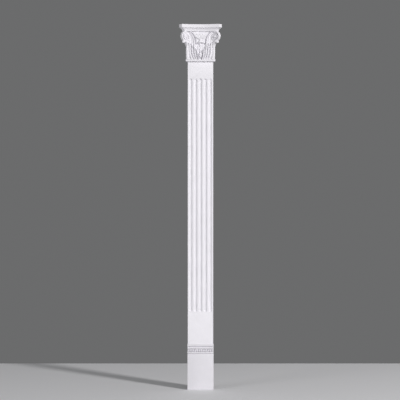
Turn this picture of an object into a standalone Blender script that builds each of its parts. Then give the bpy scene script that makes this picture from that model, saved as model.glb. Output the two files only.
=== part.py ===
"""A wall pilaster in three castings: a carved capital, a fluted shaft and a plinth block as base.

The back of all three lies on the wall plane y = 0 and they stand out towards -Y. +X is to the right,
+Z is up, and the origin is the middle of the shaft's back face.
"""

from math import cos, pi, radians, sin, sqrt, tan

import bmesh
import bpy
from mathutils import Vector

# Shaft
SHAFT_WIDTH = 0.146
SHAFT_DEPTH = 0.022
SHAFT_LENGTH = 1.624
FLUTE_COUNT = 5
FLUTE_WIDTH = 0.019
FLUTE_DEPTH = 0.007
FLUTE_EDGE_MARGIN = 0.0075
PLAIN_TOP = 0.0975
PLAIN_FOOT = 0.184
SEAM = 0.0003

# Base, a plinth block whose top is moulded
BASE_SIDE_MARGIN = 0.002
BASE_PROJECTION = 0.008
BASE_HEIGHT = 0.262
BASE_RECESS = 0.0055
FASCIA_HEIGHT = 0.0115
FASCIA_SETBACK = 0.0025
GROOVE_HEIGHT = 0.0055
TORUS_HEIGHT = 0.012
EGG_ROW_HEIGHT = 0.0165
EGG_COUNT = 12
EGG_PROJECTION = 0.0055
FILLET_HEIGHT = 0.0055
FILLET_SETBACK = 0.002
QUIRK_HEIGHT = 0.0055
DIE_CHAMFER = 0.0015

# Capital: its own height, how far its abacus stands out past the shaft in front and at each side,
# and how far the round moulding at its foot does
CAPITAL_HEIGHT = 0.210
CAPITAL_PROJECTION = 0.043
CAPITAL_SPREAD = 0.049
ASTRAGAL_PROJECTION = 0.0127
ASTRAGAL_HEIGHT = 0.018
ABACUS_HEIGHT = 0.019
CAVETTO_HEIGHT = 0.019

# The carving is drawn in parts of a drawing of the capital: 210 parts high, on a shaft 73 parts to
# each side of the middle and 22 deep, with the horns of the abacus 49 further out and 43 further on
DRAWN_HEIGHT = 210.0
DRAWN_HALF_WIDTH = 73.0
DRAWN_DEPTH = 22.0
DRAWN_SPREAD = 49.0
DRAWN_PROJECTION = 43.0

# Volutes, in the same parts
VOLUTE_X = 82.2
VOLUTE_Z = 141.0
VOLUTE_RADIUS = 32.5
VOLUTE_FLATTENING = 0.824
VOLUTE_SHRINK = 0.6
VOLUTE_TURNS = 1.5
VOLUTE_STEPS = 14
VOLUTE_BAND = 9.2
VOLUTE_TILT = radians(40.0)
STEM_DEPTH = 35.5
STEM_FOOT_X = 31.6
STEM_FOOT_INNER_X = 60.0
STEM_FOOT_Z = 104.0

# Corner leaves, in the same parts: where each furrow starts on the astragal, where it ends on the
# leaf's upper outline, how high that notch is and how high the lobe after it rises
FRONT_FURROWS = (
    (79.0, 79.0, 112.0, 112.0),
    (71.0, 75.0, 102.0, 110.0),
    (50.0, 60.0, 97.0, 107.0),
    (32.0, 46.0, 91.0, 102.0),
    (15.0, 28.0, 80.0, 92.0),
    (2.0, 4.0, 62.0, 62.0),
)
SIDE_FURROWS = (
    (31.0, 31.0, 112.0, 112.0),
    (23.0, 26.0, 103.0, 108.0),
    (11.0, 15.0, 99.0, 103.0),
    (1.0, 1.5, 96.0, 96.0),
)
LEAF_BENDS = (25.0, 13.0, 10.0, 9.0, 8.0, 5.0)
LEAF_FURROW_SWAY = 1.3
LEAF_TIER_LIP = 2.8
LEAF_COLUMNS = 5
LEAF_ROWS = (0.0, 0.14, 0.28, 0.4, 0.47, 0.5, 0.53, 0.62, 0.72, 0.82, 0.91, 0.97, 1.0)

CASTING_COLOUR = (0.82, 0.81, 0.83, 1.0)
CASTING_ROUGHNESS = 0.55


def clear_scene():
    for thing in list(bpy.data.objects):
        bpy.data.objects.remove(thing, do_unlink=True)


def casting_material(name):
    """Matt white primer over a rigid foam casting."""
    material = bpy.data.materials.new(name)
    material.use_nodes = True
    shader = material.node_tree.nodes["Principled BSDF"]
    shader.inputs["Base Color"].default_value = CASTING_COLOUR
    shader.inputs["Roughness"].default_value = CASTING_ROUGHNESS
    shader.inputs["Metallic"].default_value = 0.0
    return material


def add_object(name, bm):
    mesh = bpy.data.meshes.new(name)
    bmesh.ops.recalc_face_normals(bm, faces=bm.faces)
    bm.to_mesh(mesh)
    bm.free()
    thing = bpy.data.objects.new(name, mesh)
    bpy.context.scene.collection.objects.link(thing)
    return thing


def combine(target, cutters, operation):
    """One exact Boolean of the target with all the cutters, which are then removed."""
    group = bpy.data.collections.new(target.name + "_tools")
    for cutter in cutters:
        group.objects.link(cutter)
    modifier = target.modifiers.new("combine", "BOOLEAN")
    modifier.operation = operation
    modifier.solver = "EXACT"
    modifier.operand_type = "COLLECTION"
    modifier.collection = group
    graph = bpy.context.evaluated_depsgraph_get()
    graph.update()
    mesh = bpy.data.meshes.new_from_object(target.evaluated_get(graph))
    target.modifiers.remove(modifier)
    target.data = mesh
    for cutter in cutters:
        bpy.data.objects.remove(cutter, do_unlink=True)
    bpy.data.collections.remove(group)


def finish_casting(thing, material, crease):
    mesh = thing.data
    mesh.materials.clear()
    mesh.materials.append(material)
    mesh.shade_smooth()
    mesh.set_sharp_from_angle(angle=crease)


def loft(name, sections):
    """A closed body through equal rings of points, capped at both ends."""
    bm = bmesh.new()
    rings = [[bm.verts.new(point) for point in section] for section in sections]
    count = len(rings[0])
    for low, high in zip(rings, rings[1:]):
        for i in range(count):
            j = (i + 1) % count
            bm.faces.new((low[i], low[j], high[j], high[i]))
    bm.faces.new(rings[0][::-1])
    bm.faces.new(rings[-1])
    return add_object(name, bm)


def thick_sheet(name, rows, back_rows):
    """A closed body between two grids of points, with a wall round their edge."""
    bm = bmesh.new()
    front = [[bm.verts.new(point) for point in row] for row in rows]
    back = [[bm.verts.new(point) for point in row] for row in back_rows]
    last_row = len(rows) - 1
    last_column = len(rows[0]) - 1
    for i in range(last_row):
        for j in range(last_column):
            bm.faces.new((front[i][j], front[i][j + 1], front[i + 1][j + 1], front[i + 1][j]))
            bm.faces.new((back[i][j], back[i + 1][j], back[i + 1][j + 1], back[i][j + 1]))
    for i in range(last_row):
        bm.faces.new((front[i][0], front[i + 1][0], back[i + 1][0], back[i][0]))
        bm.faces.new((front[i + 1][-1], front[i][-1], back[i][-1], back[i + 1][-1]))
    for j in range(last_column):
        bm.faces.new((front[0][j + 1], front[0][j], back[0][j], back[0][j + 1]))
        bm.faces.new((front[-1][j], front[-1][j + 1], back[-1][j + 1], back[-1][j]))
    bmesh.ops.remove_doubles(bm, verts=bm.verts, dist=0.00002)
    return add_object(name, bm)


def smooth_step(value, low, high):
    share = min(max((value - low) / (high - low), 0.0), 1.0)
    return share * share * (3.0 - 2.0 * share)


# Shaft


def flute_cutter(name, x, low, high):
    """A rod with round ends whose section cuts the flute's width and depth from the front face."""
    radius = (FLUTE_WIDTH**2 / 4 + FLUTE_DEPTH**2) / (2 * FLUTE_DEPTH)
    axis_y = -SHAFT_DEPTH - (radius - FLUTE_DEPTH)
    around = 20
    steps = 4
    end_lift = FLUTE_WIDTH / 2
    shape = [(radius * cos(pi / 2 * i / steps), -radius * sin(pi / 2 * i / steps)) for i in range(steps)]
    ends = [(low + end_lift + drop, ring) for ring, drop in shape[::-1]]
    ends += [(high - end_lift - drop, ring) for ring, drop in shape]
    bm = bmesh.new()
    rings = []
    for z, ring in ends:
        turns = [2 * pi * k / around for k in range(around)]
        rings.append([bm.verts.new((x + ring * sin(t), axis_y + ring * cos(t), z)) for t in turns])
    foot = bm.verts.new((x, axis_y, low + end_lift - radius))
    head = bm.verts.new((x, axis_y, high - end_lift + radius))
    for lower, upper in zip(rings, rings[1:]):
        for k in range(around):
            n = (k + 1) % around
            bm.faces.new((lower[k], lower[n], upper[n], upper[k]))
    for k in range(around):
        n = (k + 1) % around
        bm.faces.new((foot, rings[0][n], rings[0][k]))
        bm.faces.new((head, rings[-1][k], rings[-1][n]))
    return add_object(name, bm)


def make_shaft():
    bm = bmesh.new()
    bmesh.ops.create_cube(bm, size=1.0)
    for vert in bm.verts:
        vert.co.x *= SHAFT_WIDTH
        vert.co.y = (vert.co.y - 0.5) * SHAFT_DEPTH
        vert.co.z *= SHAFT_LENGTH
    shaft = add_object("shaft", bm)
    pitch = (SHAFT_WIDTH - 2 * FLUTE_EDGE_MARGIN - FLUTE_WIDTH) / (FLUTE_COUNT - 1)
    low = -SHAFT_LENGTH / 2 + PLAIN_FOOT
    high = SHAFT_LENGTH / 2 - PLAIN_TOP
    flutes = []
    for i in range(FLUTE_COUNT):
        x = (i - (FLUTE_COUNT - 1) / 2) * pitch
        flutes.append(flute_cutter(f"flute_{i}", x, low, high))
    combine(shaft, flutes, "DIFFERENCE")
    finish_casting(shaft, casting_material("casting_shaft"), radians(35))
    return shaft


# Base


def base_profile():
    """Depth and height of the moulded front, from the top down to the floor."""
    depth = SHAFT_DEPTH + BASE_PROJECTION
    ground = depth - BASE_RECESS
    z = -SHAFT_LENGTH / 2 - SEAM
    floor = z - BASE_HEIGHT
    points = [(depth - FASCIA_SETBACK, z), (depth - FASCIA_SETBACK, z - FASCIA_HEIGHT)]
    z -= FASCIA_HEIGHT
    points += [(ground, z - GROOVE_HEIGHT * 0.35), (ground, z - GROOVE_HEIGHT)]
    z -= GROOVE_HEIGHT
    swell = BASE_RECESS - FASCIA_SETBACK / 2
    for i in range(7):
        turn = pi * i / 6
        points.append((ground + swell * sin(turn), z - TORUS_HEIGHT * (1 - cos(turn)) / 2))
    z -= TORUS_HEIGHT + EGG_ROW_HEIGHT
    points += [(ground, z), (depth - FILLET_SETBACK, z - FILLET_HEIGHT * 0.3)]
    points += [(depth - FILLET_SETBACK, z - FILLET_HEIGHT)]
    z -= FILLET_HEIGHT
    points += [(ground, z), (ground, z - QUIRK_HEIGHT)]
    z -= QUIRK_HEIGHT
    points += [(depth - DIE_CHAMFER, z), (depth, z - DIE_CHAMFER), (depth, floor)]
    return [point for i, point in enumerate(points) if i == 0 or point != points[i - 1]]


def make_base():
    half = SHAFT_WIDTH / 2 + BASE_SIDE_MARGIN
    profile = base_profile()
    outline = [(0.0, profile[0][1])] + profile + [(0.0, profile[-1][1])]
    base = loft("base", [[(x, -depth, z) for depth, z in outline] for x in (-half, half)])
    ground = SHAFT_DEPTH + BASE_PROJECTION - BASE_RECESS
    row_top = -SHAFT_LENGTH / 2 - SEAM - FASCIA_HEIGHT - GROOVE_HEIGHT - TORUS_HEIGHT
    pitch = 2 * half / EGG_COUNT
    eggs = []
    for i in range(EGG_COUNT):
        bm = bmesh.new()
        bmesh.ops.create_uvsphere(bm, u_segments=10, v_segments=6, radius=1.0)
        for vert in bm.verts:
            vert.co.x = vert.co.x * pitch * 0.455 - half + pitch * (i + 0.5)
            vert.co.y = vert.co.y * EGG_PROJECTION - ground
            vert.co.z = vert.co.z * EGG_ROW_HEIGHT * 0.48 + row_top - EGG_ROW_HEIGHT * 0.52
        eggs.append(add_object(f"egg_{i}", bm))
    combine(base, eggs, "UNION")
    finish_casting(base, casting_material("casting_base"), radians(35))
    return base


# Capital


def place(x, depth, z):
    """A point of the drawing, in parts, at its real size and place."""
    side = -1.0 if x < 0 else 1.0
    inner = min(abs(x), DRAWN_HALF_WIDTH) / DRAWN_HALF_WIDTH * SHAFT_WIDTH / 2
    outer = max(abs(x) - DRAWN_HALF_WIDTH, 0.0) / DRAWN_SPREAD * CAPITAL_SPREAD
    within = min(depth, DRAWN_DEPTH) / DRAWN_DEPTH * SHAFT_DEPTH
    beyond = max(depth - DRAWN_DEPTH, 0.0) / DRAWN_PROJECTION * CAPITAL_PROJECTION
    height = SHAFT_LENGTH / 2 + SEAM + z / DRAWN_HEIGHT * CAPITAL_HEIGHT
    return Vector((side * (inner + outer), -within - beyond, height))


def block_section(projection, z, corner):
    """The plan of a block that stands out by one projection in front and at both sides."""
    half = SHAFT_WIDTH / 2 + projection
    depth = SHAFT_DEPTH + projection
    right = []
    for i in range(4):
        turn = pi / 2 * i / 3
        right.append((half - corner + corner * cos(turn), depth - corner + corner * sin(turn)))
    ring = [(half, 0.0)] + right + [(-x, d) for x, d in right[::-1]] + [(-half, 0.0)]
    return [(x, -d, z) for x, d in ring]


def make_bell():
    """The block behind the carving, with the astragal at its foot."""
    foot = SHAFT_LENGTH / 2 + SEAM
    swell = ASTRAGAL_PROJECTION
    neck = 0.003
    sections = [block_section(swell * 0.7, foot, 0.003)]
    for i in range(5):
        turn = radians(-55 + 140 * i / 4)
        out = neck + (swell - neck) * cos(turn)
        sections.append(block_section(out, foot + ASTRAGAL_HEIGHT * (0.5 + 0.48 * sin(turn)), 0.003))
    for out, share in ((0.003, 0.095), (0.005, 0.55), (0.007, 0.74), (0.013, 0.81), (0.022, 0.87)):
        sections.append(block_section(out, foot + CAPITAL_HEIGHT * share, 0.003))
    return loft("capital", sections)


def abacus_section(inset, height_below_top):
    """Plan of the abacus: a hollow front and sides between horns whose points are cut off."""
    front = DRAWN_DEPTH + DRAWN_PROJECTION
    side = DRAWN_HALF_WIDTH + DRAWN_SPREAD
    cut = 16.0
    hollow = 15.0
    half_front = side - cut
    points = []
    for i in range(4):
        share = i / 3
        points.append((side - 9.0 * sin(pi / 2 * (1 - share)), (front - cut) * share))
    for i in range(17):
        x = half_front * (1 - 2 * i / 16)
        points.append((x, front - hollow * (1 - (x / half_front) ** 2)))
    points += [(-x, d) for x, d in points[3::-1]]
    z = DRAWN_HEIGHT - height_below_top / CAPITAL_HEIGHT * DRAWN_HEIGHT
    return [place(x * (1 - inset / side), d * (1 - inset / front), z) for x, d in points]


def make_abacus():
    low = ABACUS_HEIGHT + CAVETTO_HEIGHT
    sections = [abacus_section(18.0, low), abacus_section(14.5, low - CAVETTO_HEIGHT * 0.3)]
    sections += [abacus_section(10.0, low - CAVETTO_HEIGHT * 0.62), abacus_section(6.0, ABACUS_HEIGHT + 0.0012)]
    sections += [abacus_section(3.0, ABACUS_HEIGHT), abacus_section(0.0, ABACUS_HEIGHT)]
    sections += [abacus_section(0.0, 0.001), abacus_section(1.0, 0.0)]
    return loft("abacus", sections)


def volute_depth(x):
    """The scroll lies flat on the bell and turns forward towards the corner."""
    start = 74.0
    blend = 5.0
    over = (x - start) / blend
    lift = over if over > 8 else 0.0 if over < -8 else log_sum(over)
    return STEM_DEPTH + tan(VOLUTE_TILT) * blend * lift


def log_sum(value):
    """A hinge with a round bend: near 0 below zero and near the value above it."""
    return (value + sqrt(value * value + 1.6)) / 2


def spiral_radius(turn):
    return VOLUTE_RADIUS * VOLUTE_SHRINK ** (turn / (2 * pi))


def volute_point(turn, across, relief, facing, side):
    """A point on the scroll's face; across runs from the outer edge to the next turn's edge."""
    outer = spiral_radius(turn)
    radius = outer + (spiral_radius(turn + 2 * pi) - outer) * across
    x = VOLUTE_X + VOLUTE_FLATTENING * radius * sin(turn)
    z = VOLUTE_Z + radius * cos(turn)
    rise = 4.0 * (1 - radius / VOLUTE_RADIUS)
    depth = volute_depth(x) + rise + relief * outer / VOLUTE_RADIUS
    if facing == "side":
        edge = VOLUTE_X + VOLUTE_FLATTENING * VOLUTE_RADIUS * VOLUTE_SHRINK**0.25
        shift = edge + VOLUTE_BAND - volute_depth(edge)
        x, depth = depth + shift, max(x - shift, 0.6)
    return place(side * x, depth, z)


def make_volute(name, side):
    """A drum on the corner with a coiled band on its front face and on its side face."""
    bm = bmesh.new()
    count = int(VOLUTE_TURNS * VOLUTE_STEPS)
    profile = ((0.0, 0.0), (0.3, 0.0), (0.42, -5.0), (0.9, -4.5))
    rims = []
    for facing in ("front", "side"):
        grid = []
        for i in range(count + 1):
            turn = 2 * pi * i / VOLUTE_STEPS
            grid.append([bm.verts.new(volute_point(turn, a, h, facing, side)) for a, h in profile])
        inner = {}
        for k in range(count + 1, count + VOLUTE_STEPS + 1):
            inner[k] = bm.verts.new(volute_point(2 * pi * k / VOLUTE_STEPS, 0.0, -3.0, facing, side))
        following = [grid[k][0] if k <= count else inner[k] for k in range(count + VOLUTE_STEPS + 1)]
        for i in range(count):
            here = grid[i] + [following[i + VOLUTE_STEPS]]
            there = grid[i + 1] + [following[i + 1 + VOLUTE_STEPS]]
            for j in range(4):
                bm.faces.new((here[j], here[j + 1], there[j + 1], there[j]))
        eye = bm.verts.new(volute_point(2 * pi * (VOLUTE_TURNS + 1), 1.0, 0.0, facing, side))
        middle = sum((vert.co for vert in inner.values()), Vector()) / len(inner)
        eye.co = middle + (grid[-1][0].co - grid[-1][2].co) * 1.2
        hole = [following[k] for k in range(count, count + VOLUTE_STEPS + 1)] + grid[count][:0:-1]
        for i, vert in enumerate(hole):
            bm.faces.new((vert, hole[(i + 1) % len(hole)], eye))
        rims.append([grid[k][0] for k in range(VOLUTE_STEPS + 1)] + grid[0][:0:-1])
    for i in range(len(rims[0])):
        n = (i + 1) % len(rims[0])
        bm.faces.new((rims[0][i], rims[0][n], rims[1][n], rims[1][i]))
    return add_object(name, bm)


def stem_edges(turn):
    """Outer and inner edge of the volute's stem, from the volute's top down to the leaf."""
    outer_x = VOLUTE_X - (VOLUTE_X - STEM_FOOT_X) * sin(turn)
    outer_z = STEM_FOOT_Z + (VOLUTE_Z + VOLUTE_RADIUS - STEM_FOOT_Z) * cos(turn)
    wrap = min(turn, pi / 4) * 1.6
    gap = 1.0 + 0.13 * wrap
    radius = spiral_radius(2 * pi - wrap) * gap
    inner_x = VOLUTE_X - VOLUTE_FLATTENING * radius * sin(wrap)
    inner_z = VOLUTE_Z + radius * cos(wrap)
    if turn > pi / 4:
        share = (turn - pi / 4) / (pi / 4)
        inner_x += (STEM_FOOT_INNER_X - inner_x) * sin(share * pi / 2)
        inner_z += (STEM_FOOT_Z - inner_z) * share
    return outer_x, outer_z, inner_x, inner_z


def make_stem(name, side):
    """The band that rises from behind the leaf and rolls up into the volute: a rim, then a channel."""
    profile = ((0.0, -1.5), (0.1, 0.6), (0.27, 0.8), (0.37, -3.8), (0.6, -1.0), (0.84, -1.6), (1.0, -5.0))
    rows = []
    backs = []
    for i in range(-1, 10):
        turn = pi / 2 * i / 9
        outer_x, outer_z, inner_x, inner_z = stem_edges(max(turn, 0.0))
        if turn < 0:
            outer_x, outer_z, inner_x, inner_z = outer_x + 6, outer_z - 2, inner_x + 5, inner_z - 1
        row = []
        for share, relief in profile:
            x = outer_x + (inner_x - outer_x) * share
            z = outer_z + (inner_z - outer_z) * share
            row.append((x, volute_depth(x) + relief - 0.4, z))
        rows.append([place(side * x, depth, z) for x, depth, z in row])
        backs.append([place(side * x, 21.0, z) for x, depth, z in row])
    rows.append([point - Vector((0.0, 0.0, 0.012)) for point in rows[-1]])
    backs.append([point - Vector((0.0, 0.0, 0.012)) for point in backs[-1]])
    return thick_sheet(name, rows, backs)


def leaf_point(at, up):
    """A point of the leaf on the right corner: at is 0 on its spine, + to the front, - to the side."""
    furrows = FRONT_FURROWS if at >= 0 else SIDE_FURROWS
    index = min(int(abs(at)), len(furrows) - 2)
    share = abs(at) - index
    low, high = furrows[index], furrows[index + 1]
    foot, end, notch = (low[k] + (high[k] - low[k]) * share for k in range(3))
    arch = sin(pi * share) if index else cos(pi / 2 * share)
    lobe = low[3] - (low[2] + high[2]) / 2 if index else 0.0
    along = foot + (end - foot) * up**1.6
    along += LEAF_FURROW_SWAY * sin(2 * pi * up) * (index > 0)
    bend = LEAF_BENDS[index] + (LEAF_BENDS[index + 1] - LEAF_BENDS[index]) * share
    outward = bend * smooth_step(up, 0.5, 1.1) + 2.0 * sin(pi * up * 0.8)
    outward += 5.0 * arch**0.7 * (0.6 + 0.4 * sin(pi * min(up * 0.95, 1.0)))
    lip = smooth_step(up, 0.2, 0.5) if up <= 0.5 else smooth_step(up, 0.53, 0.5)
    outward += LEAF_TIER_LIP * lip * smooth_step(abs(at), 0.5, 1.1)
    facing = pi / 2 * smooth_step(at, -1.0, 1.0)
    ground = 31.0 - 3.5 * smooth_step(at, 3.7, 4.3)
    x, depth = (along, ground) if at >= 0 else (78.5, along)
    z = 14.0 + (notch - 14.0) * up + lobe * arch * min(up * 2.0, 1.0)
    return x + outward * cos(facing), depth + outward * sin(facing), z


def make_leaf(name, side):
    """An acanthus leaf folded round the corner of the bell, five lobes in front and three beside."""
    lobes_front = len(FRONT_FURROWS) - 1
    lobes_side = len(SIDE_FURROWS) - 1
    rows = []
    backs = []
    for up in LEAF_ROWS:
        row = []
        for j in range(-lobes_side * LEAF_COLUMNS, lobes_front * LEAF_COLUMNS + 1):
            row.append(leaf_point(j / LEAF_COLUMNS, up))
        rows.append([place(side * x, depth, z) for x, depth, z in row])
        backs.append([place(side * min(x, 79.0) * 0.86, min(depth, 34.0) * 0.6, z) for x, depth, z in row])
    return thick_sheet(name, rows, backs)


def make_roundel(name, centre, radii, turn=0.0, segments=12, rings=7):
    """A rounded lump, such as the rolled tip of a leaf or a bud."""
    bm = bmesh.new()
    bmesh.ops.create_uvsphere(bm, u_segments=segments, v_segments=rings, radius=1.0)
    for vert in bm.verts:
        a, b, c = vert.co.x * radii[0], vert.co.y * radii[1], vert.co.z * radii[2]
        x = centre[0] + a * cos(turn) + b * sin(turn)
        depth = centre[1] - a * sin(turn) + b * cos(turn)
        vert.co = place(x, depth, centre[2] + c)
    return add_object(name, bm)


def make_petal(name, root, lean, length, half_width, lift, curl=0.0):
    """A blunt petal that rises from its root and leans sideways, with a groove along its middle."""
    rows = []
    backs = []
    x0, z0, reached = root[0], root[1], 0.0
    for up in (0.0, 0.15, 0.32, 0.5, 0.66, 0.8, 0.91, 0.98, 1.0):
        heading = lean + curl * up
        x0 += length * (up - reached) * sin(heading)
        z0 += length * (up - reached) * cos(heading)
        reached = up
        taper = sqrt(max(1.0 - (max(up - 0.6, 0.0) / 0.405) ** 2, 0.0))
        half = half_width * min(1.0, 0.5 + 1.1 * up) * taper
        row = []
        for v in (-1.0, -0.6, -0.15, 0.15, 0.6, 1.0):
            swell = lift * (0.55 + 0.45 * up) * (1.0 - 0.8 * v * v - 0.28 * (abs(v) < 0.2))
            x = x0 + half * v * cos(heading)
            z = z0 - half * v * sin(heading)
            row.append((x, 28.0 + 5.0 * up + swell, z))
        rows.append([place(x, depth, z) for x, depth, z in row])
        backs.append([place(x, 21.0, z) for x, depth, z in row])
    return thick_sheet(name, rows, backs)


def make_calyx():
    """The cup that the palmette grows from, on a short stalk out of the leaves."""
    sections = []
    shape = ((60, 5, 3), (82, 6, 4), (102, 7, 5), (104, 13, 8), (106, 14, 10), (113, 11, 10), (122, 7.5, 9), (134, 7, 8))
    for z, half, rise in shape:
        ring = []
        for i in range(9):
            turn = pi * i / 8
            ring.append(place(half * cos(turn), 27.0 + rise * sin(turn), z))
        sections.append(ring + [place(-half, 21.0, z), place(half, 21.0, z)])
    return loft("calyx", sections)


def make_capital():
    capital = make_bell()
    parts = [make_abacus(), make_calyx()]
    for side, word in ((1, "right"), (-1, "left")):
        parts.append(make_volute(f"volute_{word}", side))
        parts.append(make_stem(f"stem_{word}", side))
        parts.append(make_leaf(f"leaf_{word}", side))
        turn = radians(-45) * side
        parts.append(make_roundel(f"tip_{word}", (side * 90.0, 43.0, 113.0), (11.0, 16.0, 8.0), turn))
        parts.append(make_petal(f"helix_{word}", (side * 28.0, 103.0), side * -0.22, 54.0, 11.5, 10.0, side * 0.75))
        parts.append(make_petal(f"petal_{word}", (side * 4.0, 126.0), side * 0.46, 44.0, 9.0, 12.0))
    parts.append(make_petal("petal_top", (0.0, 124.0), 0.0, 54.0, 8.5, 14.0))
    parts.append(make_roundel("bud", (0.0, 27.0, 36.0), (10.0, 10.0, 17.0)))
    combine(capital, parts, "UNION")
    finish_casting(capital, casting_material("casting_capital"), radians(50))
    return capital


clear_scene()
make_shaft()
make_base()
make_capital()
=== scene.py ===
"""A white wall pilaster in three castings, seen straight on in soft studio light."""

from math import cos, exp, pi, radians, sin, sqrt, tan

import bmesh
import bpy
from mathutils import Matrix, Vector


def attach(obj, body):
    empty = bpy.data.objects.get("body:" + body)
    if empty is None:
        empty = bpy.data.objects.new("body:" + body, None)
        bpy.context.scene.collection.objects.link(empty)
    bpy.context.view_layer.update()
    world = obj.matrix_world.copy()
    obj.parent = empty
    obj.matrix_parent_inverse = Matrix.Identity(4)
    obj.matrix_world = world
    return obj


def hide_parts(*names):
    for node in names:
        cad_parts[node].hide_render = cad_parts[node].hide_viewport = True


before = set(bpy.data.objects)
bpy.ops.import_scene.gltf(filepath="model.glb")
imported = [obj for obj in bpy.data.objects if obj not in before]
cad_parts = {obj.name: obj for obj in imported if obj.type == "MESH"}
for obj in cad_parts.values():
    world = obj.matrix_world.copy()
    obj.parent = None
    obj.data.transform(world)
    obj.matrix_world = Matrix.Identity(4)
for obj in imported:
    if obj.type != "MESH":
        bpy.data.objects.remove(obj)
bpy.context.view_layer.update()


# The base is a plinth block, cast solid in rigid foam and primed white. Its die is plain; its top has
# a fascia, a round moulding and a row of eggs, all cut off square at the sides. It stands on the floor
# and is glued to the wall.
BASE_HALF_WIDTH = 0.075
BASE_DEPTH = 0.030
BASE_TOP = -0.8123
BASE_FOOT = -1.0743
BASE_TINT = (0.80, 0.785, 0.82)
EGG_GROUND = 0.019
EGG_COUNT = 12
EGG_ROW_TOP = BASE_TOP - 0.029
EGG_ROW_HEIGHT = 0.0165
EGG_PITCH = 2 * BASE_HALF_WIDTH / EGG_COUNT
EGG_STANDS_OUT = 0.0105
# How far an egg's middle lies behind the ground, so that the two surfaces cross cleanly
EGG_SUNK = 0.0006
# The moulding over the die, upwards: how high each step is, and how far it comes forward
MOULDED_HEIGHT = 0.0565
QUIRK_AND_FILLET = ((0, -0.0085), (0.0055, 0), (0, 0.007), (0.0038, 0))
EGG_ROW = ((0.0017, -0.0095), (EGG_ROW_HEIGHT, 0))
GROOVE_AND_FASCIA = ((0.0048, 0), (0.0013, 0.0085), (0.0109, 0))
ROUND_HEIGHT = 0.012
ROUND_SWELL = 0.00975
ROUND_STEPS = 12


def deselect_all():
    bpy.ops.object.select_all(action="DESELECT")


def select_faces(piece, wanted):
    """In edit mode, selects just the faces for which wanted(centre, normal) holds."""
    bpy.ops.mesh.select_mode(type="FACE")
    mesh = bmesh.from_edit_mesh(piece.data)
    for face in mesh.faces:
        face.select = bool(wanted(face.calc_center_median(), face.normal))
    mesh.select_flush_mode()
    bmesh.update_edit_mesh(piece.data)


def select_edges(piece, wanted):
    """In edit mode, selects just the edges whose two ends are both wanted."""
    bpy.ops.mesh.select_mode(type="EDGE")
    mesh = bmesh.from_edit_mesh(piece.data)
    for edge in mesh.edges:
        edge.select = all(wanted(vert.co) for vert in edge.verts)
    mesh.select_flush_mode()
    bmesh.update_edit_mesh(piece.data)


def add_block(name, size, centre):
    deselect_all()
    bpy.ops.mesh.primitive_cube_add(size=1.0, location=centre)
    block = bpy.context.object
    block.name = name
    block.scale = size
    bpy.ops.object.transform_apply(location=True, rotation=False, scale=True)
    return block


def apply_modifier(piece, kind, **settings):
    deselect_all()
    piece.select_set(True)
    bpy.context.view_layer.objects.active = piece
    modifier = piece.modifiers.new(kind.lower(), kind)
    for key, value in settings.items():
        setattr(modifier, key, value)
    bpy.ops.object.modifier_apply(modifier=modifier.name)


def own_copy(piece, location):
    """A copy with a mesh of its own."""
    copy = piece.copy()
    copy.data = piece.data.copy()
    bpy.context.scene.collection.objects.link(copy)
    copy.location = location
    return copy


def soften_edges(piece, width):
    """The rounding that the mould leaves on every arris."""
    apply_modifier(
        piece, "BEVEL", width=width, segments=3, limit_method="ANGLE", angle_limit=radians(28)
    )


def raise_step(piece, up, forward):
    """Draws the top of a block up by one step of a moulding and moves its front edge."""
    top = max(vert.co.z for vert in piece.data.vertices)
    bpy.ops.object.mode_set(mode="EDIT")
    select_faces(piece, lambda centre, normal: normal.z > 0.9 and centre.z > top - 1e-5)
    if up > 0:
        bpy.ops.mesh.extrude_region_move(TRANSFORM_OT_translate={"value": (0, 0, up)})
    bpy.ops.object.mode_set(mode="OBJECT")
    if forward:
        top += up
        bpy.ops.object.mode_set(mode="EDIT")
        select_edges(piece, lambda co: co.z > top - 1e-5 and co.y < -0.001)
        bpy.ops.transform.translate(value=(0, -forward, 0))
        bpy.ops.object.mode_set(mode="OBJECT")


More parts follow.
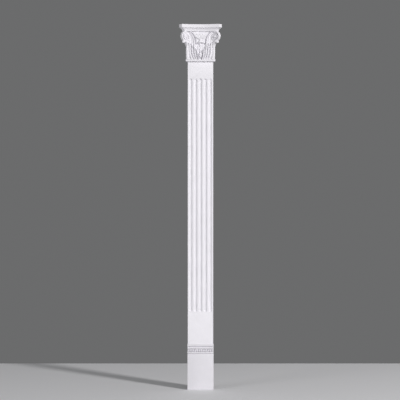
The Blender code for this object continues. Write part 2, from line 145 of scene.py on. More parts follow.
def primed_foam(name, seed, tint):
    """Matt white primer, sprayed on smooth foam: a fine grain, faint clouding and a soft sheen."""
    material = bpy.data.materials.new(name)
    material.use_nodes = True
    nodes = material.node_tree.nodes
    links = material.node_tree.links
    shader = nodes["Principled BSDF"]
    where = nodes.new("ShaderNodeTexCoord")
    shift = nodes.new("ShaderNodeMapping")
    shift.inputs["Location"].default_value = (seed, seed * 0.7, seed * 1.3)
    links.new(where.outputs["Object"], shift.inputs["Vector"])

    def noise(scale, detail, roughness):
        texture = nodes.new("ShaderNodeTexNoise")
        texture.inputs["Scale"].default_value = scale
        texture.inputs["Detail"].default_value = detail
        texture.inputs["Roughness"].default_value = roughness
        links.new(shift.outputs["Vector"], texture.inputs["Vector"])
        return texture.outputs["Fac"]

    clouds = nodes.new("ShaderNodeValToRGB")
    clouds.color_ramp.elements[0].position = 0.3
    clouds.color_ramp.elements[0].color = [channel * 0.955 for channel in tint] + [1]
    clouds.color_ramp.elements[1].position = 0.72
    clouds.color_ramp.elements[1].color = list(tint) + [1]
    links.new(noise(14.0, 5.0, 0.6), clouds.inputs["Fac"])
    specks = nodes.new("ShaderNodeValToRGB")
    specks.color_ramp.elements[0].position = 0.27
    specks.color_ramp.elements[0].color = (0.9, 0.89, 0.88, 1)
    specks.color_ramp.elements[1].position = 0.36
    specks.color_ramp.elements[1].color = (1, 1, 1, 1)
    links.new(noise(420.0, 2.0, 0.5), specks.inputs["Fac"])
    mix = nodes.new("ShaderNodeMix")
    mix.data_type = "RGBA"
    mix.blend_type = "MULTIPLY"
    mix.inputs["Factor"].default_value = 0.6
    links.new(clouds.outputs["Color"], mix.inputs["A"])
    links.new(specks.outputs["Color"], mix.inputs["B"])
    links.new(mix.outputs["Result"], shader.inputs["Base Color"])

    dullness = nodes.new("ShaderNodeMapRange")
    dullness.inputs["To Min"].default_value = 0.5
    dullness.inputs["To Max"].default_value = 0.66
    links.new(noise(60.0, 3.0, 0.5), dullness.inputs["Value"])
    links.new(dullness.outputs["Result"], shader.inputs["Roughness"])
    shader.inputs["Specular IOR Level"].default_value = 0.4

    grain = nodes.new("ShaderNodeBump")
    grain.inputs["Strength"].default_value = 0.35
    grain.inputs["Distance"].default_value = 0.0004
    links.new(noise(900.0, 3.0, 0.6), grain.inputs["Height"])
    ripple = nodes.new("ShaderNodeBump")
    ripple.inputs["Strength"].default_value = 0.4
    ripple.inputs["Distance"].default_value = 0.0008
    links.new(noise(90.0, 2.0, 0.5), ripple.inputs["Height"])
    links.new(ripple.outputs["Normal"], grain.inputs["Normal"])
    links.new(grain.outputs["Normal"], shader.inputs["Normal"])
    return material


def dress(piece, name, material, node):
    """Names a finished casting, gives it its finish, hangs it under the root and hides the solid it stands
    for.
    """
    piece.name = name
    piece.data.name = name
    piece.data.materials.clear()
    piece.data.materials.append(material)
    deselect_all()
    piece.select_set(True)
    bpy.context.view_layer.objects.active = piece
    bpy.ops.object.shade_smooth_by_angle(angle=radians(32))
    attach(piece, "root")
    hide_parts(node)


die_height = BASE_TOP - BASE_FOOT - MOULDED_HEIGHT
base = add_block(
    "base_block",
    (2 * BASE_HALF_WIDTH, BASE_DEPTH, die_height),
    (0, -BASE_DEPTH / 2, BASE_FOOT + die_height / 2),
)
for up, forward in QUIRK_AND_FILLET + EGG_ROW:
    raise_step(base, up, forward)
reached = 0.0
for i in range(1, ROUND_STEPS + 1):
    turn, turn_before = pi * i / ROUND_STEPS, pi * (i - 1) / ROUND_STEPS
    up = ROUND_HEIGHT / 2 * (cos(turn_before) - cos(turn))
    raise_step(base, up, ROUND_SWELL * sin(turn) - reached)
    reached = ROUND_SWELL * sin(turn)
for up, forward in GROOVE_AND_FASCIA:
    raise_step(base, up, forward)
soften_edges(base, 0.0007)

deselect_all()
bpy.ops.mesh.primitive_uv_sphere_add(segments=32, ring_count=18, radius=1.0)
egg = bpy.context.object
for vert in egg.data.vertices:
    # Fuller above, pointed below, as the eggs of such a row are
    taper = 1.0 - 0.22 * max(-vert.co.z, 0.0) ** 1.5
    vert.co.x *= EGG_PITCH * 0.4 * taper
    vert.co.y *= EGG_STANDS_OUT
    vert.co.z *= EGG_ROW_HEIGHT * 0.475
eggs = []
for i in range(EGG_COUNT):
    x = EGG_PITCH * (i + 0.5) - BASE_HALF_WIDTH
    eggs.append(own_copy(egg, (x, EGG_SUNK - EGG_GROUND, EGG_ROW_TOP - EGG_ROW_HEIGHT * 0.5)))
bpy.data.objects.remove(egg)
# All eggs unite with the base in one step; united one after another, they could now and then leave a fault
# in the row
deselect_all()
for egg in eggs:
    egg.select_set(True)
bpy.context.view_layer.objects.active = eggs[0]
bpy.ops.object.join()
apply_modifier(base, "BOOLEAN", operation="UNION", solver="EXACT", object=eggs[0])
bpy.data.objects.remove(eggs[0])
dress(base, "base_casting", primed_foam("primed_base", 3.1, BASE_TINT), "base")


# The shaft is a flat board cast in the same foam, with five flutes that stop short of both ends in
# round hollows, as a round-nosed cutter leaves them. It is glued to the wall between the two others.
SHAFT_HALF_WIDTH = 0.073
SHAFT_DEPTH = 0.022
SHAFT_LENGTH = 1.624
FLUTE_LOW = -SHAFT_LENGTH / 2 + 0.184
FLUTE_HIGH = SHAFT_LENGTH / 2 - 0.0975
FLUTE_WIDTH = 0.019
FLUTE_DEPTH = 0.007
FLUTE_PITCH = 0.028
# Under 1 the cutter's nose has steep sides and a flatter middle
FLUTE_NOSE = 0.72
SHAFT_TINT = (0.86, 0.845, 0.88)

shaft = add_block(
    "shaft_board", (2 * SHAFT_HALF_WIDTH, SHAFT_DEPTH, SHAFT_LENGTH), (0, -SHAFT_DEPTH / 2, 0)
)
low = FLUTE_LOW + FLUTE_WIDTH / 2
high = FLUTE_HIGH - FLUTE_WIDTH / 2
deselect_all()
bpy.ops.mesh.primitive_cylinder_add(vertices=72, radius=1.0, depth=high - low)
cutter = bpy.context.object
for vert in cutter.data.vertices:
    for axis, reach in ((0, FLUTE_WIDTH / 2), (1, FLUTE_DEPTH)):
        share = vert.co[axis]
        vert.co[axis] = reach * abs(share) ** FLUTE_NOSE * (1 if share > 0 else -1)
bpy.ops.object.mode_set(mode="EDIT")
for end in (-1, 1):
    select_faces(cutter, lambda centre, normal: normal.z * end > 0.9)
    ring = 1.0
    # The dome stops just short of its pole
    for i in range(1, 13):
        rise = FLUTE_WIDTH / 2 * (sin(pi / 2 * i / 12.5) - sin(pi / 2 * (i - 1) / 12.5))
        bpy.ops.mesh.extrude_region_move(TRANSFORM_OT_translate={"value": (0, 0, end * rise)})
        next_ring = cos(pi / 2 * i / 12.5)
        bpy.ops.transform.resize(value=(next_ring / ring, next_ring / ring, 1))
        ring = next_ring
bpy.ops.object.mode_set(mode="OBJECT")
for i in range(-2, 3):
    flute = own_copy(cutter, (i * FLUTE_PITCH, -SHAFT_DEPTH, (low + high) / 2))
    apply_modifier(shaft, "BOOLEAN", operation="DIFFERENCE", solver="EXACT", object=flute)
    bpy.data.objects.remove(flute)
bpy.data.objects.remove(cutter)
soften_edges(shaft, 0.0006)
dress(shaft, "shaft_casting", primed_foam("primed_shaft", 7.7, SHAFT_TINT), "shaft")


# The capital is one casting from a carved model: a bell with a round moulding at its foot, a leaf
# folded round each corner, a stem that rolls up into a volute above it, a palmette in the middle and
# a hollow-sided abacus on top. All that follows is in millimetres from the middle of its foot: across,
# out from the wall and up. It is glued to the wall over the shaft.
CAPITAL_FOOT = 0.8123
CAPITAL_HEIGHT = 210.0
CAPITAL_TINT = (0.84, 0.825, 0.86)
# The shaft's half width and front, which the bell stands out from
SHAFT_SIDE, SHAFT_FRONT = 73.0, 22.0
BELL_CORNER = 3.0
ABACUS_SIDE, ABACUS_FRONT = 122.0, 65.0
ABACUS_SIDE_AT_WALL, HORN_FROM = 113.0, 49.0
ABACUS_HOLLOW, HOLLOW_SIDE = 15.0, 106.0
# How deep in the bell each carving's hidden back lies
BURIED = 20.0
STEM_DEPTH = 35.5
VOLUTE_X, VOLUTE_Z = 82.2, 141.0
VOLUTE_RADIUS = 32.5
VOLUTE_FLATTENING = 0.824
VOLUTE_SHRINK = 0.6
VOLUTE_BAND = 9.2
EYE_RADIUS = 5.2
# Cast beyond the wall's plane and the foot, and sawn off at the end
SAW_ROOM = 3.0
STEM_FOOT_X, STEM_FOOT_INNER_X, STEM_FOOT_Z = 31.6, 60.0, 104.0
BUD_HALF_SIZE = (9.5, 13.0, 17.0)
# The skin's fineness in metres, and how many triangles are left of it
SKIN_STEP, SKIN_TRIANGLES = 0.0008, 180000
LEAF_FRONT, LEAF_SIDE, LEAF_FOOT = 34.0, 75.0, 10.0
# Top edge of half a corner leaf, front and side: how far along, and how high
FRONT_TOP = ((10, 12), (13, 22), (15.5, 38), (18.5, 56), (26, 75), (37, 90), (50, 101), (62, 105))
FRONT_TOP += ((72, 102), (80, 97))
SIDE_TOP = ((-4, 97), (8, 101), (18, 104), (26, 101), (33, 97))
# The furrows that part its lobes: how wide and how deep each is, and its way from the top edge down
FRONT_FURROWS = (
    (2.1, 6.5, ((71, 114), (70, 92), (68, 78), (69.5, 66), (67, 54), (67.5, 44), (65, 33),
               (61, 22), (57, 8))),
    (2.7, 9.0, ((58, 114), (55, 94), (53, 82), (54.5, 70), (52, 59), (53, 48), (49.5, 38),
               (45, 26), (39, 8))),
    (2.6, 9.0, ((46, 104), (43, 86), (39, 73), (40, 62), (39.5, 52), (36.5, 42), (35, 33),
               (31, 22), (26, 8))),
    (2.3, 7.5, ((31, 92), (27.5, 68), (25, 55), (25.5, 45), (23, 35), (20, 26), (14, 8))),
)
SIDE_FURROWS = (
    (2.0, 5.0, ((23, 114), (22, 88), (23, 70), (21.5, 52), (21.5, 36), (19, 8))),
    (2.0, 5.0, ((10, 112), (10.5, 86), (9.5, 68), (10.5, 50), (9.5, 34), (8, 8))),
)


def place(x, depth, z):
    """Millimetres of the capital's drawing, as a place in the scene."""
    return Vector((x / 1000, -depth / 1000, CAPITAL_FOOT + z / 1000))


def smooth_step(value, low, high):
    """Rises softly from 0 at low to 1 at high."""
    share = min(max((value - low) / (high - low), 0.0), 1.0)
    return share * share * (3.0 - 2.0 * share)


def carving(name, mesh):
    """Turns a closed bmesh into an object with its faces outwards."""
    bmesh.ops.remove_doubles(mesh, verts=mesh.verts, dist=0.00001)
    bmesh.ops.recalc_face_normals(mesh, faces=mesh.faces)
    data = bpy.data.meshes.new(name)
    mesh.to_mesh(data)
    mesh.free()
    piece = bpy.data.objects.new(name, data)
    bpy.context.scene.collection.objects.link(piece)
    return piece


def stack(name, sections, hooked=False):
    """A closed body through equal rings of points. Hooked rings are closed from side to side."""
    mesh = bmesh.new()
    rings = [[mesh.verts.new(point) for point in section] for section in sections]
    count = len(rings[0])
    for lower, upper in zip(rings, rings[1:]):
        for i in range(count):
            j = (i + 1) % count
            mesh.faces.new((lower[i], lower[j], upper[j], upper[i]))
    for ring in (rings[0], rings[-1]):
        if hooked:
            for i in range(count // 2 - 1):
                mesh.faces.new((ring[i], ring[i + 1], ring[count - 2 - i], ring[count - 1 - i]))
        else:
            mesh.faces.new(ring)
    return carving(name, mesh)


def relief(name, rows, backs):
    """A closed body between a carved grid of points and a plain one behind it."""
    mesh = bmesh.new()
    front = [[mesh.verts.new(point) for point in row] for row in rows]
    back = [[mesh.verts.new(point) for point in row] for row in backs]
    for i in range(len(rows) - 1):
        for j in range(len(rows[0]) - 1):
            mesh.faces.new((front[i][j], front[i][j + 1], front[i + 1][j + 1], front[i + 1][j]))
            mesh.faces.new((back[i][j], back[i + 1][j], back[i + 1][j + 1], back[i][j + 1]))
        mesh.faces.new((front[i][0], front[i + 1][0], back[i + 1][0], back[i][0]))
        mesh.faces.new((front[i + 1][-1], front[i][-1], back[i][-1], back[i + 1][-1]))
    for j in range(len(rows[0]) - 1):
        mesh.faces.new((front[0][j + 1], front[0][j], back[0][j], back[0][j + 1]))
        mesh.faces.new((front[-1][j], front[-1][j + 1], back[-1][j + 1], back[-1][j]))
    return carving(name, mesh)


def block_ring(out, z, sunk=0.0):
    """Plan of the bell where it stands out from the shaft's faces, its front sunk or not."""
    half, depth = SHAFT_SIDE + out, SHAFT_FRONT + out - sunk
    right = []
    for i in range(9):
        turn = pi / 2 * i / 8
        off_side, off_front = BELL_CORNER * (1 - cos(turn)), BELL_CORNER * (1 - sin(turn))
        right.append((half - off_side, depth - off_front))
    ring = [(half, -SAW_ROOM)] + right + [(-x, d) for x, d in right[::-1]] + [(-half, -SAW_ROOM)]
    return [place(x, d, z) for x, d in ring]


def abacus_ring(inset, z):
    """Plan of the abacus: hollow front and sides between horns whose points are cut off."""
    flare = ABACUS_SIDE - ABACUS_SIDE_AT_WALL
    points = [(ABACUS_SIDE_AT_WALL, -SAW_ROOM)]
    for i in range(13):
        points.append((ABACUS_SIDE - flare * sin(pi / 2 * (1 - i / 12)), HORN_FROM * i / 12))
    for i in range(65):
        x = HOLLOW_SIDE * (1 - 2 * i / 64)
        points.append((x, ABACUS_FRONT - ABACUS_HOLLOW * (1 - (x / HOLLOW_SIDE) ** 2)))
    points += [(-x, d) for x, d in points[13::-1]]
    narrow, shallow = 1 - inset / ABACUS_SIDE, 1 - inset / ABACUS_FRONT
    return [place(x * narrow, d * shallow if d > 0 else d, z) for x, d in points]


bell = [block_ring(10.9, -SAW_ROOM), block_ring(10.9, 0.0)]
for i in range(25):
    # The round moulding at the foot is fuller below, so that its face looks forward and up
    z = 0.4 + 17.6 * i / 24
    fall = (z - 6.5) / 11.6 if z > 6.5 else (6.5 - z) / 12.0
    bell.append(block_ring(3.0 + 9.7 * sqrt(1.0 - fall * fall), z))
for i in range(25):
    share = 0.095 + 0.775 * i / 24
    out = 3.0 + 4.0 * smooth_step(share, 0.1, 0.75) + 10.0 * smooth_step(share, 0.77, 0.86)
    bell.append(block_ring(out, CAPITAL_HEIGHT * share, sunk=5.0 * smooth_step(share, 0.15, 0.3)))
carvings = [stack("bell", bell)]
# The abacus stays a solid of its own until the end, so that its edges stay crisp
abacus = [abacus_ring(18.0, 172.0)]
for i in range(13):
    turn = pi / 2 * i / 12
    abacus.append(abacus_ring(17.0 - 11.0 * (1 - cos(turn)), 173.0 + 14.5 * sin(turn) ** 1.3))
abacus += [abacus_ring(6.0, 190.5), abacus_ring(1.0, 191.0), abacus_ring(0.0, 191.6)]
abacus += [abacus_ring(0.0, 209.2), abacus_ring(0.5, 210.0)]
slab = stack("abacus", abacus)


def volute_depth(x):
    """The scroll lies flat on the bell and turns forward towards the corner."""
    over = (x - 74.0) / 5.0
    return STEM_DEPTH + tan(radians(40)) * 5.0 * (over + sqrt(over * over + 1.6)) / 2


def spiral_radius(turn):
    """The band's rim comes in by the same share on every full turn."""
    return VOLUTE_RADIUS * VOLUTE_SHRINK ** (turn / (2 * pi))


def round_corner(x, depth):
    """A place on the volute's front face, taken round the corner to its side face."""
    edge = VOLUTE_X + VOLUTE_FLATTENING * VOLUTE_RADIUS * VOLUTE_SHRINK**0.25
    shift = edge + VOLUTE_BAND - volute_depth(edge)
    return depth + shift, x - shift


def volute_point(turn, across, raised, facing, side):
    """A place on the coiled band: how far round, how far across from its rim, and how far raised."""
    outer = spiral_radius(turn)
    radius = outer + (spiral_radius(turn + 2 * pi) - outer) * across
    x = VOLUTE_X + VOLUTE_FLATTENING * radius * sin(turn)
    z = VOLUTE_Z + radius * cos(turn)
    depth = volute_depth(x) + 4.0 * (1 - radius / VOLUTE_RADIUS) + raised * outer / VOLUTE_RADIUS
    if facing == "side":
        x, depth = round_corner(x, depth)
        depth = max(depth, 0.4)
    return place(side * x, depth, z)


def eye_place(facing, side):
    x, depth = VOLUTE_X, volute_depth(VOLUTE_X) + 2.2
    if facing == "side":
        x, depth = round_corner(x, depth)
    return place(side * x, depth, VOLUTE_Z)


def carve_volute(side):
    """A drum on the corner with a coiled band on two faces, each ending in a round eye."""
    mesh = bmesh.new()
    steps, turns = 60, 2.0
    count = int(steps * turns)
    # Across the band: how far from its rim, and how far raised
    profile = ((0.0, -1.0), (0.05, 0.1), (0.16, 0.9), (0.36, 1.0), (0.54, 0.4), (0.64, -1.0))
    profile += ((0.68, -6.0), (0.76, -9.5), (0.9, -9.5), (0.97, -6.0))
    rims = []
    for facing in ("front", "side"):
        grid = []
        for i in range(count + 1):
            turn = 2 * pi * i / steps
            grid.append([mesh.verts.new(volute_point(turn, a, h, facing, side)) for a, h in profile])
        inner = {}
        for k in range(count + 1, count + steps + 1):
            inner[k] = mesh.verts.new(volute_point(2 * pi * k / steps, 0.0, -2.0, facing, side))
        after = [grid[k][0] if k <= count else inner[k] for k in range(count + steps + 1)]
        for i in range(count):
            here = grid[i] + [after[i + steps]]
            there = grid[i + 1] + [after[i + 1 + steps]]
            for j in range(len(profile)):
                mesh.faces.new((here[j], here[j + 1], there[j + 1], there[j]))
        eye = mesh.verts.new(sum((vert.co for vert in inner.values()), Vector()) / len(inner))
        hole = after[count : count + steps + 1] + grid[count][:0:-1]
        for i, vert in enumerate(hole):
            mesh.faces.new((vert, hole[(i + 1) % len(hole)], eye))
        rims.append([grid[k][0] for k in range(steps + 1)] + grid[0][:0:-1])
    for i in range(len(rims[0])):
        n = (i + 1) % len(rims[0])
        mesh.faces.new((rims[0][i], rims[0][n], rims[1][n], rims[1][i]))
    drum = carving("volute", mesh)
    eyes = []
    for facing in ("front", "side"):
        bpy.ops.mesh.primitive_uv_sphere_add(
            segments=32, ring_count=16, radius=EYE_RADIUS / 1000, location=eye_place(facing, side)
        )
        eyes.append(bpy.context.object)
    return [drum] + eyes


def stem_edges(turn):
    """Outer and inner edge of the stem, from the volute's top down to the leaf."""
    outer_x = VOLUTE_X - (VOLUTE_X - STEM_FOOT_X) * sin(turn)
    outer_z = STEM_FOOT_Z + (VOLUTE_Z + VOLUTE_RADIUS - STEM_FOOT_Z) * cos(turn)
    wrap = min(turn, pi / 4) * 1.6
    radius = spiral_radius(2 * pi - wrap) * (1.0 + 0.13 * wrap)
    inner_x = VOLUTE_X - VOLUTE_FLATTENING * radius * sin(wrap)
    inner_z = VOLUTE_Z + radius * cos(wrap)
    if turn > pi / 4:
        share = (turn - pi / 4) / (pi / 4)
        inner_x += (STEM_FOOT_INNER_X - inner_x) * sin(share * pi / 2)
        inner_z += (STEM_FOOT_Z - inner_z) * share
    return outer_x, outer_z, inner_x, inner_z


def stem_profile(across):
    """A round rim, a sharp channel and a hollow band with a vein."""
    rim = 1.6 * sin(pi * min(across / 0.27, 1.0)) ** 0.6 - 0.8
    channel = -5.5 * smooth_step(across, 0.24, 0.3)
    band = 4.0 * smooth_step(across, 0.34, 0.44) - 2.0 * smooth_step(across, 0.5, 0.8)
    vein = -1.2 * exp(-(((across - 0.66) / 0.04) ** 2))
    return rim + channel + band + vein


def carve_stem(side):
    rows, backs = [], []
    for i in range(-3, 51):
        turn = pi / 2 * i / 46
        outer_x, outer_z, inner_x, inner_z = stem_edges(min(max(turn, 0.0), pi / 2))
        if turn < 0:
            outer_x, outer_z, inner_x, inner_z = outer_x - 2 * i, outer_z, inner_x - 1.8 * i, inner_z
        # Its foot runs on down behind the leaf
        drop = max(turn - pi / 2, 0.0) * 170
        row = []
        for j in range(33):
            across = j / 32
            x = outer_x + (inner_x - outer_x) * across
            z = outer_z + (inner_z - outer_z) * across - drop
            row.append((x, volute_depth(x) + stem_profile(across) - 0.4, z))
        rows.append([place(side * x, depth, z) for x, depth, z in row])
        backs.append([place(side * x, 21.0, z) for x, depth, z in row])
    return relief("stem", rows, backs)


def carve_shoulder(side):
    """The bell's raised face beside the stem, parted from it by a narrow gap."""
    rows, backs = [], []
    for i in range(49):
        turn = 0.3 + (pi / 2 - 0.3) * i / 48
        edge_x, edge_z, inner_x, inner_z = stem_edges(turn)
        run = (VOLUTE_X - STEM_FOOT_X) * cos(turn)
        rise = (VOLUTE_Z + VOLUTE_RADIUS - STEM_FOOT_Z) * sin(turn)
        start = edge_x - 6.2 * sqrt(run * run + rise * rise) / rise
        row = []
        for j in range(49):
            share = (j / 48) ** 1.6
            x = start + (-3.0 - start) * share
            depth = 30.0 + 2.5 * smooth_step(start - x, -1.0, 3.0) - 3.5 * smooth_step(share, 0.2, 1.0)
            row.append((x, depth, edge_z))
        rows.append([place(side * x, depth, z) for x, depth, z in row])
        backs.append([place(side * x, BURIED, z) for x, depth, z in row])
    return relief("shoulder", rows, backs)


def carve_web(side):
    """The plain ground between the stem's inner edge and the volute."""
    rows, backs = [], []
    for i in range(35):
        edge_x, edge_z, inner_x, inner_z = stem_edges(min(0.3 + (pi / 2 - 0.3) * i / 30, pi / 2))
        z = inner_z - 1.4 * max(i - 30, 0)
        row = []
        for j in range(25):
            x = inner_x - 2.0 + (82.0 - inner_x) * j / 24
            row.append((x, volute_depth(x) - 3.0, z))
        rows.append([place(side * x, depth, z) for x, depth, z in row])
        backs.append([place(side * min(x, 80.0), BURIED, z) for x, depth, z in row])
    return relief("web", rows, backs)


def carve_spine(side):
    """The leaf's back bone: a round rib folded over the corner, with a groove along each side."""
    rows, backs = [], []
    for i in range(51):
        up = i / 50
        row = []
        for j in range(-24, 25):
            at = j / 24
            facing = pi / 2 * smooth_step(at, -1.0, 1.0)
            outward = 5.0 * cos(pi / 2 * at) ** 0.7 + 1.5 * sin(pi * up)
            outward -= 1.4 * exp(-(((abs(at) - 0.42) / 0.09) ** 2))
            x = 78.5 - 16.0 * max(at, 0.0) * (1.0 - 0.45 * up)
            depth = 32.0 + 10.0 * min(at, 0.0) * (1.0 - 0.4 * up)
            row.append((x + outward * cos(facing), depth + outward * sin(facing), 12.0 + 88.0 * up))
        rows.append([place(side * x, depth, z) for x, depth, z in row])
        inside = [(0.85 * min(x, 79.0), 0.6 * min(depth, 32.0), z) for x, depth, z in row]
        backs.append([place(side * x, depth, z) for x, depth, z in inside])
    return relief("spine", rows, backs)


def height_at(line, along):
    """Height of a line of points, given by how far along it lies."""
    for (a0, z0), (a1, z1) in zip(line, line[1:]):
        if along <= a1:
            return z0 + (z1 - z0) * max(along - a0, 0.0) / (a1 - a0)
    return line[-1][1]


def gap_to(line, along, z):
    """Shortest distance from a point to a line of points."""
    best = 1e9
    for (a0, z0), (a1, z1) in zip(line, line[1:]):
        run, rise = a1 - a0, z1 - z0
        share = ((along - a0) * run + (z - z0) * rise) / (run * run + rise * rise)
        share = min(max(share, 0.0), 1.0)
        best = min(best, (along - a0 - share * run) ** 2 + (z - z0 - share * rise) ** 2)
    return sqrt(best)


def leaf_swell(along, z, top, furrows):
    """How far the leaf stands out: round lobes, a vein down each, and a top edge that leans out."""
    nearest, cut = 7.5, 0.0
    for width, depth, line in furrows:
        gap = gap_to(line, along, z)
        nearest = min(nearest, gap)
        # The lobes' edges are toothed, so the furrow opens and closes
        tooth = 0.8 + 0.55 * abs(sin(pi * (z + 2.0 * width) / 9.5)) ** 1.5
        cut = max(cut, depth * exp(-((gap / width / tooth) ** 2)))
    swell = 4.2 * (1.0 - exp(-((nearest / 4.6) ** 2))) - cut
    swell -= 1.1 * exp(-(((nearest - 6.6) / 1.1) ** 2)) * smooth_step(z, 20.0, 40.0)
    swell += 7.0 * smooth_step(z, top - 24.0, top + 3.0) + 2.0 * sin(pi * min(z / top, 1.0))
    return swell


def smooth_line(knots):
    """Points of a smooth curve through all the given points but the first and the last."""
    line = []
    for a, b, c, d in zip(knots, knots[1:], knots[2:], knots[3:]):
        for t in (0.0, 0.25, 0.5, 0.75):
            bow = (2 * a - 5 * b + 4 * c - d) * t * t + (3 * b - a - 3 * c + d) * t**3
            line.append(0.5 * (2 * b + (c - a) * t + bow))
    return line


def eased(line):
    """A smooth open line through all the given points."""
    knots = [Vector(point) for point in (line[0],) + line + (line[-1],)]
    return smooth_line(knots) + [knots[-1]]


def leaf_grid(first, last, columns, tops, furrows):
    """The swell of one face of a leaf, worked out once for both sides of the capital."""
    furrows = [(width, depth, eased(line)) for width, depth, line in furrows]
    grid = []
    for i in range(91):
        up = i / 90
        row = []
        for j in range(columns + 1):
            along = first + (last - first) * j / columns
            top = height_at(tops, along) + 2.6 * abs(sin(pi * along / 6.6))
            for width, depth, line in furrows:
                top -= 8.0 * exp(-(((along - line[2][0]) / 2.3) ** 2))
            z = LEAF_FOOT + (top - LEAF_FOOT) * up
            row.append((along, leaf_swell(along, z, top, furrows), z))
        grid.append(row)
    return grid


front_leaf = leaf_grid(10.5, 79.0, 96, FRONT_TOP, FRONT_FURROWS)
side_leaf = leaf_grid(-3.5, 32.0, 48, SIDE_TOP, SIDE_FURROWS)


def carve_leaf(side):
    """The two faces of a corner leaf, one on the capital's front and one on its side."""
    front = [[place(side * along, LEAF_FRONT + swell, z) for along, swell, z in row] for row in front_leaf]
    front_back = [[place(side * along, BURIED, z) for along, swell, z in row] for row in front_leaf]
    flank, flank_back = [], []
    for row in side_leaf:
        flank.append([place(side * (LEAF_SIDE + swell * 0.7), along, z) for along, swell, z in row])
        flank_back.append([place(side * 66.0, along, z) for along, swell, z in row])
    return [relief("leaf_front", front, front_back), relief("leaf_side", flank, flank_back)]


def carve_back_leaf(side):
    """The low leaf that looks out between the corner leaf and the middle."""
    rows, backs = [], []
    for i in range(41):
        up = i / 40
        row = []
        for j in range(61):
            share = j / 60
            top = 60.0 + 43.0 * share**0.36 + 2.4 * abs(sin(3.5 * pi * share))
            lean = 4.5 * smooth_step(up, 0.6, 1.0) + 1.3 * cos(7 * pi * share) * up
            row.append((-3.0 + 56.0 * share, 23.5 + lean + 2.0 * up, 20.0 + (top - 20.0) * up))
        rows.append([place(side * x, depth, z) for x, depth, z in row])
        backs.append([place(side * x, 15.0, z) for x, depth, z in row])
    return relief("back_leaf", rows, backs)


# Outline of the curled tip, seen along the leaf: how far out from the corner, and how high
TIP_OUTLINE = (
    (1.0, 66.0), (3.0, 82.0), (7.0, 94.0), (12.0, 102.5), (17.5, 107.5), (22.0, 108.5), (24.8, 106.5),
    (26.0, 103.8), (28.3, 102.6), (31.0, 104.0), (33.2, 108.0), (33.4, 112.5), (31.0, 116.8),
    (26.5, 119.3), (20.5, 119.0), (14.0, 115.5), (8.0, 109.0), (2.0, 100.0), (-3.0, 88.0), (-5.0, 66.0),
)


def rounded(points):
    """A smooth closed line through the given points."""
    return smooth_line([Vector(point) for point in points[-1:] + points + points[:2]])


def carve_tip(side):
    """The leaf's end, which leans out over the corner, curls forward and hangs down."""
    outline = rounded(TIP_OUTLINE)
    sections = []
    for i in range(41):
        v = 0.96 * sin(pi / 2 * (2 * i / 40 - 1))
        size = (1.0 - abs(v) ** 3) ** 0.5
        ring = []
        for k, (out, z) in enumerate(outline):
            # Thinner towards the leaf's edges, about the middle between its two faces
            far_out, far_z = outline[-1 - k]
            mid_out, mid_z = (out + far_out) / 2, (z + far_z) / 2
            half = 4.0 + 7.5 * smooth_step(z, 62.0, 94.0) + 2.0 * smooth_step(z, 80.0, 112.0)
            half -= 6.0 * smooth_step(out, 18.0, 33.0)
            rib = 1.1 * cos(3 * pi * v) * smooth_step(out, 4.0, 14.0) * smooth_step(k, 28, 44)
            out = mid_out + (out + rib - mid_out) * size - 4.5 * v * v
            z = mid_z + (z - mid_z) * size
            x = 79.0 + (out + half * v) * 0.707
            depth = 32.0 + (out - half * v) * 0.707
            ring.append(place(side * x, depth, z))
        sections.append(ring)
    return stack("tip", sections, hooked=True)


def carve_palmette():
    """Five petals grown together in a fan, hollow towards its edge."""
    rows, backs = [], []
    for i in range(45):
        share = 0.06 + 0.94 * i / 44
        row = []
        for j in range(121):
            v = 2 * j / 120 - 1
            turn = radians(58) * v
            petal = abs(cos(2.5 * pi * v))
            reach = (33.0 + 5.5 * petal**0.6) * share
            swell = 7.0 * sin(pi * (0.15 + 0.62 * share)) + 3.0 * smooth_step(share, 0.7, 1.0)
            swell += 2.4 * petal**0.7 * smooth_step(share, 0.1, 0.5)
            row.append((reach * sin(turn) * 1.12, 31.5 + swell, 122.0 + reach * cos(turn)))
        rows.append([place(x, depth, z) for x, depth, z in row])
        backs.append([place(x, BURIED, z) for x, depth, z in row])
    return relief("palmette", rows, backs)


for side in (1, -1):
    carvings += carve_volute(side)
    carvings.append(carve_stem(side))
    carvings.append(carve_spine(side))
    carvings += carve_leaf(side)
    carvings.append(carve_tip(side))
    carvings.append(carve_back_leaf(side))
    carvings.append(carve_shoulder(side))
    carvings.append(carve_web(side))
carvings.append(carve_palmette())
# The palmette's cup on its stem: how high, how wide to each side, how far out
cup = []
sizes = ((50, 3, 1), (82, 4, 2), (103, 4.5, 3), (106, 6, 5), (106.8, 16, 12), (109, 17, 14))
sizes += ((113, 13, 14), (117, 9.5, 13), (121, 7.5, 12), (127, 6.5, 11), (131, 4, 9))
for z, half, rise in sizes:
    ring = []
    for i in range(49):
        turn = pi * i / 48
        fold = 1.0 + 0.2 * abs(sin(2.5 * turn)) * (half > 7.5)
        ring.append(place(half * fold * cos(turn), 28.0 + rise * fold * sin(turn), z))
    cup.append(ring + [place(-half, 21.0, z), place(half, 21.0, z)])
carvings.append(stack("cup", cup))
deselect_all()
bpy.ops.mesh.primitive_uv_sphere_add(segments=40, ring_count=24, radius=0.001, location=place(0, 27, 36))
bud = bpy.context.object
bud.scale = BUD_HALF_SIZE
bpy.ops.object.transform_apply(location=False, rotation=False, scale=True)
carvings.append(bud)

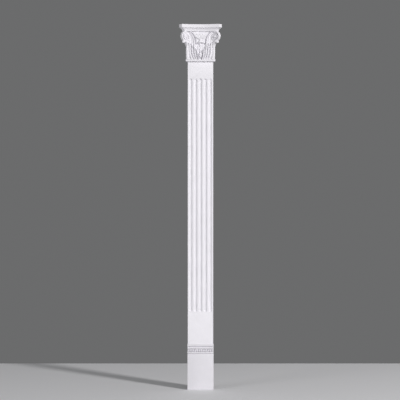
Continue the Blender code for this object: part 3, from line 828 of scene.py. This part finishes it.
# All the carvings grow together into one skin, which is thinned out before the abacus goes on
deselect_all()
for piece in carvings:
    piece.select_set(True)
capital = carvings[0]
bpy.context.view_layer.objects.active = capital
bpy.ops.object.join()
bpy.ops.object.transform_apply(location=True, rotation=True, scale=True)
apply_modifier(capital, "REMESH", mode="VOXEL", voxel_size=SKIN_STEP)
apply_modifier(capital, "SMOOTH", factor=0.5, iterations=6)
apply_modifier(capital, "DECIMATE", ratio=SKIN_TRIANGLES / (2 * len(capital.data.polygons)))
apply_modifier(capital, "BOOLEAN", operation="UNION", solver="EXACT", object=slab)
bpy.data.objects.remove(slab)
# The wall side is flat as poured, and the foot is sawn square
bpy.ops.object.mode_set(mode="EDIT")
for cut, out in (((0, 0, 0), (0, 1, 0)), ((0, 0, CAPITAL_FOOT), (0, 0, -1))):
    bpy.ops.mesh.select_all(action="SELECT")
    bpy.ops.mesh.bisect(plane_co=cut, plane_no=out, use_fill=True, clear_outer=True, threshold=0.000001)
bpy.ops.object.mode_set(mode="OBJECT")
primed_capital = primed_foam("primed_capital", 1.9, CAPITAL_TINT)
dress(capital, "capital_casting", primed_capital, "capital")


# A plain pale floor under the base. It is no part of the pilaster.
deselect_all()
bpy.ops.mesh.primitive_plane_add(size=1.0, location=(0, -0.2, BASE_FOOT - 0.0005))
floor = bpy.context.object
floor.name = "floor"
floor.scale = (3.4, 2.6, 1)
bpy.ops.object.transform_apply(location=True, rotation=False, scale=True)
floor_paint = bpy.data.materials.new("floor_paint")
floor_paint.use_nodes = True
floor_shader = floor_paint.node_tree.nodes["Principled BSDF"]
floor_shader.inputs["Base Color"].default_value = (0.78, 0.78, 0.79, 1)
floor_shader.inputs["Roughness"].default_value = 0.8
floor.data.materials.append(floor_paint)


# Soft studio light from the upper right, a weak one from the left, and a grey room round it all.
def soft_lamp(name, place_at, target, size, power, colour):
    data = bpy.data.lights.new(name, "AREA")
    data.shape = "DISK"
    data.size = size
    data.energy = power
    data.color = colour
    lamp = bpy.data.objects.new(name, data)
    bpy.context.scene.collection.objects.link(lamp)
    lamp.location = place_at
    lamp.rotation_euler = (Vector(target) - Vector(place_at)).to_track_quat("-Z", "Y").to_euler()


soft_lamp("key", (5.4, -5.3, 3.4), (0, 0, -0.1), 0.9, 450, (1.0, 0.99, 1.0))
soft_lamp("low_fill", (1.2, -5.5, -0.9), (0, 0, -0.9), 2.5, 35, (1.0, 0.99, 1.0))
soft_lamp("left_fill", (-4.5, -4.0, 0.6), (0, 0, 0.3), 2.5, 80, (0.98, 0.98, 1.0))
world = bpy.data.worlds.new("grey_room")
bpy.context.scene.world = world
world.use_nodes = True
nodes, links = world.node_tree.nodes, world.node_tree.links
heading = nodes.new("ShaderNodeTexCoord")
parts = nodes.new("ShaderNodeSeparateXYZ")
links.new(heading.outputs["Generated"], parts.inputs["Vector"])
shade = nodes.new("ShaderNodeMapRange")
shade.inputs["From Min"].default_value = 0.3
shade.inputs["From Max"].default_value = -0.5
shade.inputs["To Min"].default_value = 0.15
shade.inputs["To Max"].default_value = 0.28
links.new(parts.outputs["Y"], shade.inputs["Value"])
links.new(shade.outputs["Result"], nodes["Background"].inputs["Strength"])
nodes["Background"].inputs["Color"].default_value = (0.98, 0.99, 1.0, 1)
bpy.context.scene.view_settings.view_transform = "Standard"

# The camera looks straight at the pilaster from far off, as in the photograph.
PHOTO_SPAN = 2.3
CAMERA_DISTANCE = 7.0
SENSOR = 36.0
camera_data = bpy.data.cameras.new("camera")
camera_data.sensor_width = SENSOR
camera_data.lens = SENSOR * CAMERA_DISTANCE / PHOTO_SPAN
camera_data.clip_end = 50.0
camera = bpy.data.objects.new("camera", camera_data)
bpy.context.scene.collection.objects.link(camera)
camera.location = (-0.0029, -SHAFT_DEPTH - CAMERA_DISTANCE, 0.0158)
camera.rotation_euler = (radians(90), 0, 0)
bpy.context.scene.camera = camera
